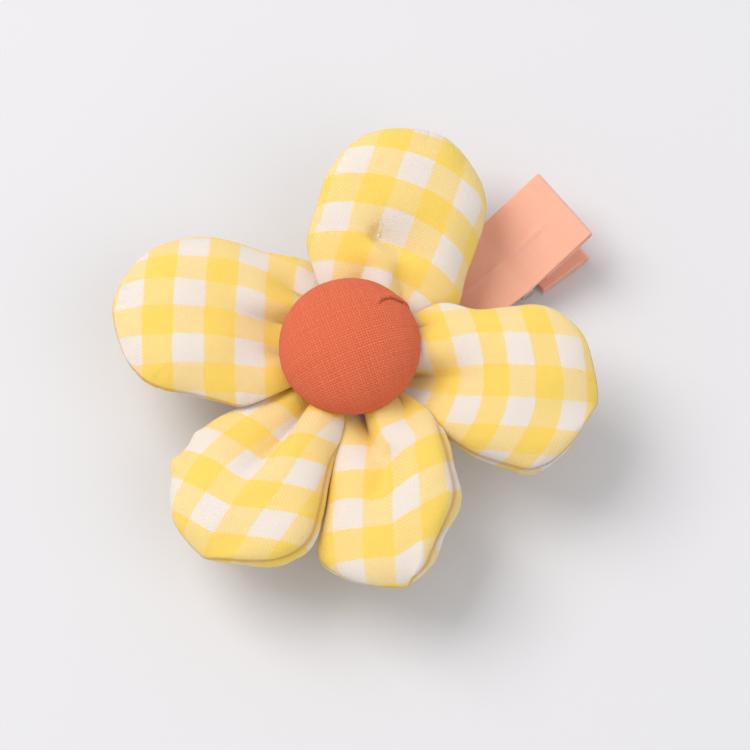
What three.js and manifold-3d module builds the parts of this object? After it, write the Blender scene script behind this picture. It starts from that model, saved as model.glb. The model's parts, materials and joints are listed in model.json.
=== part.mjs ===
// A hair clip: a stuffed gingham flower with a cloth-covered button, on a ribbon-lined alligator clip.
// Millimetres, +Z up, +X from the jaw tip towards the finger levers.
// The origin is on the underside of the lower arm, straight below the middle of the flower.
import * as THREE from "three";
import { mergeVertices } from "three/addons/utils/BufferGeometryUtils.js";
import Module from "manifold-3d";

const wasm = await Module();
wasm.setup();

// ---- Driving dimensions ----

// Clearances
const touchGap = 0.3; // pieces that rest on each other
const clothGap = 0.1; // cloth glued or drawn over another piece
const runningGap = 0.1; // pin in an ear, on the radius

// Clip, along X from the middle of the flower
const jawReach = 19;
const hingeReach = 26.5;
const leverReach = 36.6;
const sheet = 0.5; // steel thickness
const lowerArmWidth = 8.2;
const noseRadius = 3.4;
const shoulderLength = 8; // full width starts this far before the hinge
const lowerStep = 0.5; // the lower lever is pressed up this much, to leave room for its ribbon
const stepLength = 2;
const stepBeforeHinge = 2; // from the end of the step to the pin
const leverRise = THREE.MathUtils.degToRad(23); // slope of the upper lever
const jawGap = 1.7; // between the two jaws at the tip, where the teeth are

// Jaw teeth
const toothCount = 5;
const toothPitch = 2;
const toothHeight = 1.2;
const toothRoot = 0.3; // how far a row of teeth reaches into its arm
const toothInset = 1.2; // jaw tip to the first tooth
const upperToothSide = 2.8; // from the middle line to a row of teeth
const lowerToothSide = 1.7;

// Hinge
const pinRadius = 0.6;
const pinHeadRadius = 1.1;
const pinHeadLength = 0.4;
const earRadius = 1.3;
const earHalfLength = 2.6; // along the arm, at the ear's foot
const wire = 0.7;
const springInnerRadius = 0.8;
const springTurns = 5; // whole turns that the coil is cut from
const springLeg = 1.9;

// Ribbon on the levers
const ribbonWidth = 11.5;
const ribbon = 0.35; // thickness
const ribbonAfterHinge = 2.5; // from the pin to where the ribbon's inside ends start
const ribbonBeforeTip = 2; // from the jaw tip to where the upper ribbon starts

// Flower
const feltRadius = 10.5;
const felt = 1.2; // thickness
const petalHalfThickness = 4.5;
const petalRootThickness = 0.42; // share of the half thickness at the gathered root
const petalRoot = 3.9; // from the flower's axis
const petalRootRound = 3; // length over which the root closes
const petalCloth = 0.6; // shell thickness, with its seam allowance
const seamGap = 0.2; // between the front and back cloth
const petalSideGap = 0.5; // between neighbouring petals
const petalRoll = THREE.MathUtils.degToRad(9); // each petal leans over its neighbour's edge
const petalLift = THREE.MathUtils.degToRad(6); // the tips stand higher than the roots
const threadRadius = 0.3;
// The petals, in order of direction round the flower, in degrees from +X.
const petals = [
  { name: "top", direction: 32.7, reach: 33.8, width: 24 },
  { name: "left", direction: 125.5, reach: 33.3, width: 25.4 },
  { name: "lower_left", direction: 197.8, reach: 35, width: 24.4 },
  { name: "bottom", direction: 244.8, reach: 34.3, width: 22 },
  { name: "right", direction: 308, reach: 34.2, width: 24.2 },
];

// Covered button
const buttonRadius = 9.5;
const buttonDome = 6.4; // height of the domed part
const buttonRim = 1.3; // height of the straight rim below it
const buttonCloth = 0.4;
const buttonShell = 0.5;
const buttonBack = 0.8;
const shankRadius = 1.6;
const shankWire = 0.45;

// Facets on the round stretches
const arcSegments = 12;
const foldSteps = 6;
const pinSegments = 24;
const coilSteps = 72;
const wireArc = 4;
const petalSides = 16;
const petalRings = 12;
const discSegments = 36;
const threadSides = 6;
const threadSegments = 24;
const domeSteps = 7;
const buttonSegments = 28;
const shankSides = 8;
const shankSegments = 20;
const mergeDistance = 1e-4;

// ---- Worked out from the dimensions ----

const coilMean = springInnerRadius + wire / 2;
const coilOuter = springInnerRadius + wire;
const lowerLeverTop = lowerStep + sheet;
const pin = new THREE.Vector2(hingeReach, lowerLeverTop + touchGap + coilOuter);
const upperEarSide = lowerArmWidth / 2 + touchGap;
const upperArmWidth = 2 * (upperEarSide + sheet);
// Height of the petals' middle plane over the underside of the felt.
const petalPlane = felt + touchGap + petalHalfThickness;

const lowerMidline = [
  new THREE.Vector2(-jawReach, sheet / 2),
  new THREE.Vector2(hingeReach - stepBeforeHinge - stepLength, sheet / 2),
  new THREE.Vector2(hingeReach - stepBeforeHinge, lowerStep + sheet / 2),
  new THREE.Vector2(leverReach, lowerStep + sheet / 2),
];
const upperJawHeight = sheet + jawGap + sheet / 2;
const upperHingeHeight = pin.y + coilOuter + touchGap + sheet / 2;
const upperMidline = [
  new THREE.Vector2(-jawReach, upperJawHeight),
  new THREE.Vector2(hingeReach, upperHingeHeight),
  new THREE.Vector2(leverReach, upperHingeHeight + (leverReach - hingeReach) * Math.tan(leverRise)),
];
const jawSlope = Math.atan2(upperHingeHeight - upperJawHeight, jawReach + hingeReach);

// ---- Materials ----

const finish = (color, roughness, metalness = 0) => ({ color, roughness, metalness });
const steel = finish("#c9c8c4", 0.3, 1);
const aluminium = finish("#bfc0c2", 0.4, 1);
const salmonRibbon = finish("#f5a58c", 0.7);
const coralCloth = finish("#d8623f", 0.9);
const gingham = finish("#ffe08a", 0.9);
const feltWool = finish("#f3c15a", 0.95);
const wadding = finish("#f4f2ec", 0.95);
const cottonThread = finish("#f0dca0", 0.8);

// ---- Helpers ----

function solidOf(geometry) {
  const bare = geometry.clone();
  bare.deleteAttribute("normal");
  bare.deleteAttribute("uv");
  const merged = mergeVertices(bare, mergeDistance);
  return new wasm.Manifold(
    new wasm.Mesh({
      numProp: 3,
      vertProperties: new Float32Array(merged.attributes.position.array),
      triVerts: new Uint32Array(merged.index.array),
    }),
  );
}

function geometryOf(solid) {
  const mesh = solid.getMesh();
  const geometry = new THREE.BufferGeometry();
  geometry.setAttribute("position", new THREE.BufferAttribute(mesh.vertProperties, 3));
  geometry.setIndex(new THREE.BufferAttribute(mesh.triVerts, 1));
  geometry.computeVertexNormals();
  return geometry;
}

function addPiece(group, name, geometry, look) {
  const mesh = new THREE.Mesh(geometry, new THREE.MeshStandardMaterial(look));
  mesh.name = name;
  group.add(mesh);
}

// A side-view outline, X along the clip and Y its height, made solid across the clip.
function acrossClip(shape, width, side = 0) {
  const geometry = new THREE.ExtrudeGeometry(shape, {
    depth: width,
    bevelEnabled: false,
    curveSegments: arcSegments,
  });
  geometry.translate(0, 0, -width / 2);
  geometry.rotateX(Math.PI / 2);
  geometry.translate(0, side, 0);
  return geometry;
}

// The line moved sideways, to the left of its direction, with its corners mitred.
function offsetLine(points, distance) {
  return points.map((point, i) => {
    const before = points[Math.max(i - 1, 0)];
    const after = points[Math.min(i + 1, points.length - 1)];
    const into = point.clone().sub(before);
    const out = after.clone().sub(point);
    if (i === 0) into.copy(out);
    if (i === points.length - 1) out.copy(into);
    into.normalize();
    out.normalize();
    const along = into.clone().add(out).normalize();
    const reach = distance / along.dot(out);
    return new THREE.Vector2(point.x - along.y * reach, point.y + along.x * reach);
  });
}

// A strip of even thickness along a line.
function stripShape(points, thickness) {
  const outer = offsetLine(points, thickness / 2);
  const inner = offsetLine(points, -thickness / 2).reverse();
  return new THREE.Shape([...outer, ...inner]);
}

// The height of a line at x, and the part of it from x on.
function heightAt(points, x) {
  const i = Math.max(1, points.findIndex((point) => point.x >= x));
  const [a, b] = [points[i - 1], points[i]];
  return a.y + ((b.y - a.y) * (x - a.x)) / (b.x - a.x);
}

function lineFrom(points, x) {
  return [new THREE.Vector2(x, heightAt(points, x)), ...points.filter((point) => point.x > x)];
}

// A profile of radius and height that starts and ends on the Z axis, turned round it.
function turned(profile, segments) {
  profile[0].x = 0;
  profile[profile.length - 1].x = 0;
  const geometry = new THREE.LatheGeometry(profile, segments);
  geometry.rotateX(Math.PI / 2);
  return geometry;
}

// ---- Clip ----

// An arm's outline from above: a round nose that widens to the full width before the hinge.
function armPlan(width) {
  const noseMiddle = noseRadius - jawReach;
  const shoulder = hingeReach - shoulderLength;
  const shape = new THREE.Shape();
  shape.moveTo(leverReach + sheet, -width / 2);
  shape.lineTo(leverReach + sheet, width / 2);
  shape.lineTo(shoulder, width / 2);
  shape.lineTo(noseMiddle, noseRadius);
  shape.absarc(noseMiddle, 0, noseRadius, Math.PI / 2, -Math.PI / 2, false);
  shape.lineTo(shoulder, -width / 2);
  return shape;
}

// A strip of steel bent along its middle line and cut to its outline.
function armBlank(midline, width) {
  const strip = solidOf(acrossClip(stripShape(midline, sheet), width));
  const overBoth = 2 * upperHingeHeight; // more than the arm reaches above or below zero
  const plan = new THREE.ExtrudeGeometry(armPlan(width), {
    depth: 2 * overBoth,
    bevelEnabled: false,
    curveSegments: arcSegments,
  });
  plan.translate(0, 0, -overBoth);
  return strip.intersect(solidOf(plan));
}

// A row of teeth below (way -1) or above (way 1) an arm's face.
function teeth(midline, way, side) {
  const shape = new THREE.Shape();
  const start = toothInset - jawReach;
  const end = start + toothCount * toothPitch;
  const face = (x) => heightAt(midline, x) + (way * sheet) / 2;
  shape.moveTo(start, face(start) - way * toothRoot);
  shape.lineTo(start, face(start));
  for (let i = 0; i < toothCount; i++) {
    const tip = start + (i + 0.5) * toothPitch;
    const foot = start + (i + 1) * toothPitch;
    shape.lineTo(tip, face(tip) + way * toothHeight);
    shape.lineTo(foot, face(foot));
  }
  shape.lineTo(end, face(end) - way * toothRoot);
  return solidOf(acrossClip(shape, sheet, side));
}

// An ear that stands from an arm, with a round end and a hole for the pin.
function ear(footHeight, side) {
  const up = Math.sign(pin.y - footHeight);
  const shape = new THREE.Shape();
  shape.moveTo(pin.x - earHalfLength, footHeight);
  shape.lineTo(pin.x - earRadius, pin.y);
  shape.absarc(pin.x, pin.y, earRadius, Math.PI, 0, up > 0);
  shape.lineTo(pin.x + earHalfLength, footHeight);
  const hole = new THREE.Path();
  hole.absarc(pin.x, pin.y, pinRadius + runningGap, 0, 2 * Math.PI, false);
  shape.holes.push(hole);
  return solidOf(acrossClip(shape, sheet, side));
}

function clipArm(midline, width, way, toothSide, earFoot, earSide) {
  let arm = armBlank(midline, width);
  for (const side of [-1, 1]) {
    arm = arm.add(teeth(midline, way, side * toothSide));
    arm = arm.add(ear(earFoot, side * (earSide + (sheet / 2) * -way)));
  }
  return geometryOf(arm);
}

function lowerArm() {
  return clipArm(
    lowerMidline,
    lowerArmWidth,
    1,
    lowerToothSide,
    lowerStep + sheet / 2,
    lowerArmWidth / 2,
  );
}

function upperArm() {
  return clipArm(upperMidline, upperArmWidth, -1, upperToothSide, upperHingeHeight, upperEarSide);
}

// The pin lies across the clip, with a riveted head outside each ear.
function hingePin() {
  const shaft = upperEarSide + sheet + clothGap;
  const end = shaft + pinHeadLength;
  const profile = [
    new THREE.Vector2(0, -end),
    new THREE.Vector2(pinHeadRadius, -end),
    new THREE.Vector2(pinHeadRadius, -shaft),
    new THREE.Vector2(pinRadius, -shaft),
    new THREE.Vector2(pinRadius, shaft),
    new THREE.Vector2(pinHeadRadius, shaft),
    new THREE.Vector2(pinHeadRadius, end),
    new THREE.Vector2(0, end),
  ];
  const geometry = new THREE.LatheGeometry(profile, pinSegments);
  geometry.translate(pin.x, 0, pin.y);
  return geometry;
}

// The coil's line: a leg on the lower lever, the turns round the pin, and a leg under the upper lever.
class SpringLine extends THREE.Curve {
  constructor() {
    super();
    this.first = -Math.PI / 2;
    this.last = Math.PI / 2 + leverRise - 2 * Math.PI * springTurns;
    this.coilLength = (this.first - this.last) * coilMean;
    this.rise = ((wire + clothGap) * (this.first - this.last)) / (2 * Math.PI);
  }
  getPoint(t, target = new THREE.Vector3()) {
    const run = t * (this.coilLength + 2 * springLeg) - springLeg;
    const onCoil = THREE.MathUtils.clamp(run, 0, this.coilLength);
    const angle = this.first - onCoil / coilMean;
    const side = this.rise * (onCoil / this.coilLength - 0.5);
    const straight = run - onCoil;
    return target.set(
      pin.x + coilMean * Math.cos(angle) + straight * Math.sin(angle),
      side,
      pin.y + coilMean * Math.sin(angle) - straight * Math.cos(angle),
    );
  }
}

function torsionSpring() {
  const section = new THREE.Shape();
  section.absarc(0, 0, wire / 2, 0, 2 * Math.PI, false);
  return new THREE.ExtrudeGeometry(section, {
    steps: coilSteps,
    curveSegments: wireArc,
    bevelEnabled: false,
    extrudePath: new SpringLine(),
  });
}

// Ribbon laid over a lever from `start`, folded round its end and back underneath to the hinge.
function leverRibbon(midline, start) {
  const away = sheet / 2 + clothGap + ribbon / 2;
  const top = offsetLine(lineFrom(midline, start), away);
  const underneath = offsetLine(lineFrom(midline, hingeReach + ribbonAfterHinge), -away).reverse();
  const end = midline[midline.length - 1];
  const direction = end.clone().sub(midline[midline.length - 2]).angle();
  const fold = [];
  for (let i = 1; i < foldSteps; i++) {
    const angle = direction + Math.PI / 2 - (Math.PI * i) / foldSteps;
    fold.push(new THREE.Vector2(end.x + away * Math.cos(angle), end.y + away * Math.sin(angle)));
  }
  return acrossClip(stripShape([...top, ...fold, ...underneath], ribbon), ribbonWidth);
}

function buildClip(group) {
  addPiece(group, "lower_arm", lowerArm(), steel);
  addPiece(group, "upper_arm", upperArm(), steel);
  addPiece(group, "hinge_pin", hingePin(), steel);
  addPiece(group, "torsion_spring", torsionSpring(), steel);
  const lowerStart = hingeReach + ribbonAfterHinge;
  addPiece(group, "lower_ribbon", leverRibbon(lowerMidline, lowerStart), salmonRibbon);
  const upperStart = ribbonBeforeTip - jawReach;
  addPiece(group, "upper_ribbon", leverRibbon(upperMidline, upperStart), salmonRibbon);
}

// ---- Petals ----

// The lesser of two sizes, with the corner between them rounded off.
const rounded = (a, b) => (a > 0 && b > 0 ? (a ** -6 + b ** -6) ** (-1 / 6) : 0);

// The angle at the flower's axis that a petal's round end takes up on each side of its middle line.
const endAngle = (petal) => Math.asin(petal.width / 2 / (petal.reach - petal.width / 2));

// How far a petal may spread towards a neighbour: they share the angle between them by their sizes.
function spreadTowards(petal, neighbour) {
  const turn = (neighbour.direction - petal.direction + 720) % 360;
  const between = THREE.MathUtils.degToRad(Math.min(turn, 360 - turn));
  return (between * endAngle(petal)) / (endAngle(petal) + endAngle(neighbour));
}

// The sizes of a petal at x along it, drawn in by `inset` all round: its half thickness, and its half
// width to the right (-1) and left (1). Its outer end is round and its sides run in towards the axis.
function petalSizes(petal, inset) {
  const index = petals.indexOf(petal);
  const spread = {
    "-1": spreadTowards(petal, petals.at(index - 1)),
    1: spreadTowards(petal, petals[(index + 1) % petals.length]),
  };
  const middle = petal.reach - petal.width / 2;
  const radius = petal.width / 2 - inset;
  const start = petalRoot + inset;
  const end = middle + radius;
  const endCap = (x) => Math.sqrt(Math.max(0, 1 - (Math.max(0, x - middle) / radius) ** 2));
  const rootCap = (x) => Math.sqrt(1 - Math.max(0, 1 - (x - start) / petalRootRound) ** 2);
  const halfWidth = (x, side) => {
    const clear = (petalSideGap / 2 + inset) / Math.cos(spread[side]);
    const toNeighbour = x * Math.tan(spread[side]) - clear;
    return rounded(toNeighbour, radius * endCap(x)) * rootCap(x);
  };
  const halfDepth = (x) => {
    const swell = THREE.MathUtils.smoothstep(x, start, middle);
    const share = petalRootThickness + (1 - petalRootThickness) * swell;
    return (petalHalfThickness - inset) * share * rootCap(x) * endCap(x);
  };
  return { start, end, halfWidth, halfDepth };
}

// A plump closed form: a ball whose poles are the petal's root and tip.
function petalForm(petal, inset) {
  const { start, end, halfWidth, halfDepth } = petalSizes(petal, inset);
  const geometry = new THREE.SphereGeometry(1, petalSides, petalRings);
  geometry.rotateZ(-Math.PI / 2);
  const positions = geometry.attributes.position;
  for (let i = 0; i < positions.count; i++) {
    const x = start + ((end - start) * (positions.getX(i) + 1)) / 2;
    const across = positions.getY(i);
    const up = positions.getZ(i);
    const ring = Math.hypot(across, up);
    const scale = ring > 1e-6 ? 1 / ring : 0;
    const side = across < 0 ? -1 : 1;
    positions.setXYZ(i, x, across * scale * halfWidth(x, side), up * scale * halfDepth(x));
  }
  return solidOf(geometry);
}

// How high a petal stands above the flower's middle plane where the button's rim presses on it.
function heightUnderRim(petal) {
  const { halfWidth, halfDepth } = petalSizes(petal, 0);
  const acrossWidth = halfWidth(buttonRadius, 1) * Math.sin(petalRoll);
  const throughDepth = halfDepth(buttonRadius) * Math.cos(petalRoll);
  return buttonRadius * Math.sin(petalLift) + Math.hypot(acrossWidth, throughDepth);
}

function buildPetal(petal) {
  const group = new THREE.Group();
  group.rotation.set(petalRoll, -petalLift, THREE.MathUtils.degToRad(petal.direction), "ZYX");
  group.position.z = petalPlane;
  const shell = petalForm(petal, 0).subtract(petalForm(petal, petalCloth));
  for (const [name, way] of [["front", 1], ["back", -1]]) {
    const half = new THREE.BoxGeometry(2 * petal.reach, 2 * petal.reach, 2 * petal.reach);
    half.translate(petal.reach, 0, way * (petal.reach + seamGap / 2));
    const cloth = geometryOf(shell.intersect(solidOf(half)));
    addPiece(group, `petal_${petal.name}_${name}`, cloth, gingham);
  }
  const stuffing = geometryOf(petalForm(petal, petalCloth + touchGap));
  addPiece(group, `petal_${petal.name}_filling`, stuffing, wadding);
  return group;
}

// ---- Flower centre ----

function feltBacking() {
  const geometry = new THREE.CylinderGeometry(feltRadius, feltRadius, felt, discSegments);
  geometry.rotateX(Math.PI / 2);
  geometry.translate(0, 0, felt / 2);
  return geometry;
}

// The thread that gathers the petals' roots, drawn up into a ring.
function gatherThread() {
  const ring = petalRoot - touchGap - threadRadius;
  const geometry = new THREE.TorusGeometry(ring, threadRadius, threadSides, threadSegments);
  geometry.translate(0, 0, petalPlane - 2 * threadRadius);
  return geometry;
}

const domePoints = (radius, foot, height, from, to) =>
  new THREE.EllipseCurve(0, foot, radius, height, from, to, from > to).getPoints(domeSteps);

// Where each layer of the button lies, from the outside in; heights are from the rim's lower edge.
const shellOuter = buttonRadius - buttonCloth - clothGap;
const shellInner = shellOuter - buttonShell;
const tuckOuter = shellInner - clothGap;
const tuckInner = tuckOuter - buttonCloth;
const shellFoot = buttonCloth + clothGap;

function buttonShellPiece() {
  const top = Math.PI / 2;
  return turned(
    [
      ...domePoints(shellInner, buttonRim, buttonDome - shellFoot - buttonShell, top, 0),
      new THREE.Vector2(shellInner, shellFoot),
      new THREE.Vector2(shellOuter, shellFoot),
      ...domePoints(shellOuter, buttonRim, buttonDome - shellFoot, 0, top),
    ],
    buttonSegments,
  );
}

// The cloth goes over the shell, round the rim and up inside it.
function buttonClothPiece() {
  const top = Math.PI / 2;
  return turned(
    [
      ...domePoints(buttonRadius - buttonCloth, buttonRim, buttonDome - buttonCloth, top, 0),
      new THREE.Vector2(buttonRadius - buttonCloth, buttonCloth),
      new THREE.Vector2(tuckOuter, buttonCloth),
      new THREE.Vector2(tuckOuter, buttonRim),
      new THREE.Vector2(tuckInner, buttonRim),
      new THREE.Vector2(tuckInner, 0),
      new THREE.Vector2(buttonRadius, 0),
      ...domePoints(buttonRadius, buttonRim, buttonDome, 0, top),
    ],
    buttonSegments,
  );
}

// A disc pressed into the shell, with a wire shank below it.
function buttonBackPiece() {
  const radius = tuckInner - clothGap;
  const disc = new THREE.CylinderGeometry(radius, radius, buttonBack, discSegments);
  disc.rotateX(Math.PI / 2);
  disc.translate(0, 0, shellFoot);
  const ring = shankRadius - shankWire;
  const shank = new THREE.TorusGeometry(ring, shankWire, shankSides, shankSegments);
  shank.rotateX(Math.PI / 2);
  shank.translate(0, 0, shellFoot - buttonBack / 2 - shankRadius + 2 * shankWire);
  return geometryOf(solidOf(disc).add(solidOf(shank)));
}

function buildFlower() {
  const flower = new THREE.Group();
  const onArm = heightAt(upperMidline, 0) + sheet / 2 + clothGap + ribbon;
  flower.position.z = onArm + touchGap;
  flower.rotation.y = -jawSlope;
  addPiece(flower, "felt_backing", feltBacking(), feltWool);
  addPiece(flower, "gather_thread", gatherThread(), cottonThread);
  for (const petal of petals) flower.add(buildPetal(petal));
  const button = new THREE.Group();
  button.position.z = petalPlane + Math.max(...petals.map(heightUnderRim)) + touchGap;
  addPiece(button, "button_shell", buttonShellPiece(), aluminium);
  addPiece(button, "button_cloth", buttonClothPiece(), coralCloth);
  addPiece(button, "button_back", buttonBackPiece(), aluminium);
  flower.add(button);
  return flower;
}

const group = new THREE.Group();
buildClip(group);
group.add(buildFlower());

export default group;
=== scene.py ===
"""A flower hair clip: stuffed gingham petals and a covered button on a ribbon-lined alligator clip."""

import json
import logging
import math
from dataclasses import dataclass
from enum import Enum

import bmesh
import bpy
from mathutils import Matrix, Vector, noise


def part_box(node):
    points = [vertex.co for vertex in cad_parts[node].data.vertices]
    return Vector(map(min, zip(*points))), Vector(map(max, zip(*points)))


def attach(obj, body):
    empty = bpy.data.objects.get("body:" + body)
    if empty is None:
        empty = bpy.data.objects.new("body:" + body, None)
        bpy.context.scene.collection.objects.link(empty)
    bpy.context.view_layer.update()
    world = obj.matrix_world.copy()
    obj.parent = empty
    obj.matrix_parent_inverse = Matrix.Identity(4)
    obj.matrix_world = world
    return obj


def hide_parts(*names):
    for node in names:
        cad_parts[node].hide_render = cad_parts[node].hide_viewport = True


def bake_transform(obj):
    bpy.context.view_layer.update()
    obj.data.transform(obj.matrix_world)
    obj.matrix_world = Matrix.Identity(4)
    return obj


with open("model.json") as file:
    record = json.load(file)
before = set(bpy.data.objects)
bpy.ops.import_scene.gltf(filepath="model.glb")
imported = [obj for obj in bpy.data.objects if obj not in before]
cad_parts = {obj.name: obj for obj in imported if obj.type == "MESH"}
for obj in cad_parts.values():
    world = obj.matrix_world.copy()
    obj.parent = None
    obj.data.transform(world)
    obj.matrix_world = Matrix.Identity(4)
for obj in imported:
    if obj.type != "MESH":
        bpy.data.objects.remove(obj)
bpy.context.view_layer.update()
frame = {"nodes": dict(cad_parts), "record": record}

MM = 0.001
MERGE = 1e-6
SLIGHT = 1e-12
FIBRE_IOR = 1.46
LOG = logging.getLogger("hair_clip")
Tree = bpy.types.NodeTree
Socket = bpy.types.NodeSocket
Material = bpy.types.Material
Shape = bmesh.types.BMesh


# ---- Small tools ----


def linear(code: str) -> tuple[float, float, float, float]:
    """Turns an sRGB hex colour to linear.

    Args:
        code: The colour as "#rrggbb".

    Returns:
        Red, green, blue and an alpha of 1, all linear.
    """
    parts = [int(code[i : i + 2], 16) / 255 for i in (1, 3, 5)]
    flat = [c / 12.92 if c <= 0.04045 else ((c + 0.055) / 1.055) ** 2.4 for c in parts]
    return (*flat, 1.0)


def smooth(value: float, low: float, high: float) -> float:
    """Eases from 0 at low to 1 at high."""
    share = min(1.0, max(0.0, (value - low) / (high - low)))
    return share * share * (3 - 2 * share)


def centre(node: str) -> Vector:
    """Gives the middle of a node's box."""
    low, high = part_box(node)
    return (low + high) / 2


def rounded_less(a: float, b: float) -> float:
    """Gives the lesser of two lengths, with the corner between them rounded off."""
    sharpness = 12
    if a <= 0 or b <= 0:
        return 0.0
    return (a**-sharpness + b**-sharpness) ** (-1 / sharpness)


def add(tree: Tree, kind: str, inputs: dict | None = None, **settings) -> bpy.types.Node:
    """Adds a node with its settings and links.

    Args:
        tree: The material's node tree.
        kind: The node's type.
        inputs: What each input socket is given: a value, or another node's output socket.
        **settings: The node's own settings.

    Returns:
        The new node.
    """
    made = tree.nodes.new(kind)
    for name, value in settings.items():
        setattr(made, name, value)
    for socket, value in (inputs or {}).items():
        if isinstance(value, Socket):
            tree.links.new(value, made.inputs[socket])
        else:
            made.inputs[socket].default_value = value
    return made


def bare_material(name: str) -> Material:
    """Makes a material with an empty node tree."""
    made = bpy.data.materials.new(name)
    made.use_nodes = True
    made.node_tree.nodes.clear()
    return made


def surfaced(made: Material, inputs: dict) -> Material:
    """Gives a material one principled shader with these inputs."""
    shader = add(made.node_tree, "ShaderNodeBsdfPrincipled", inputs)
    add(made.node_tree, "ShaderNodeOutputMaterial", {"Surface": shader.outputs[0]})
    return made


def linked(name: str, data: bpy.types.ID) -> bpy.types.Object:
    """Makes an object of a mesh, a curve, a lamp or a camera, and links it to the scene."""
    made = bpy.data.objects.new(name, data)
    bpy.context.collection.objects.link(made)
    return made


def run_lengths(points: list[Vector]) -> list[float]:
    """Gives the length of a line up to each of its points."""
    runs = [0.0]
    for a, b in zip(points, points[1:]):
        runs.append(runs[-1] + (b - a).length)
    return runs


def sums(tree: Tree, operation: str, a: object, b: object = 0.0) -> Socket:
    """Gives the result of one step of arithmetic on sockets or numbers."""
    return add(tree, "ShaderNodeMath", {0: a, 1: b}, operation=operation).outputs[0]


def ranged(tree: Tree, value: object, low: float, high: float) -> Socket:
    """Gives 0 at low and 1 at high, held between them."""
    return add(tree, "ShaderNodeMapRange", {"Value": value, "From Min": low, "From Max": high}).outputs[0]


def blended(tree: Tree, share: object, a: object, b: object) -> Socket:
    """Gives colour a at share 0 and colour b at share 1."""
    made = add(tree, "ShaderNodeMix", {"Factor": share, 6: a, 7: b}, data_type="RGBA")
    return made.outputs[2]


def mixed(tree: Tree, share: object, a: object, b: object) -> Socket:
    """Gives number a at share 0 and number b at share 1."""
    return add(tree, "ShaderNodeMix", {"Factor": share, 2: a, 3: b}, data_type="FLOAT").outputs[0]


# ---- Finishes ----


class Weave(Enum):
    """How a cloth's colour is laid out."""

    CHECK = "gingham: white and dyed bands in both warp and weft"
    PLAIN = "one colour of yarn"
    RIBBED = "ribbon with fine ribs across"


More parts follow.
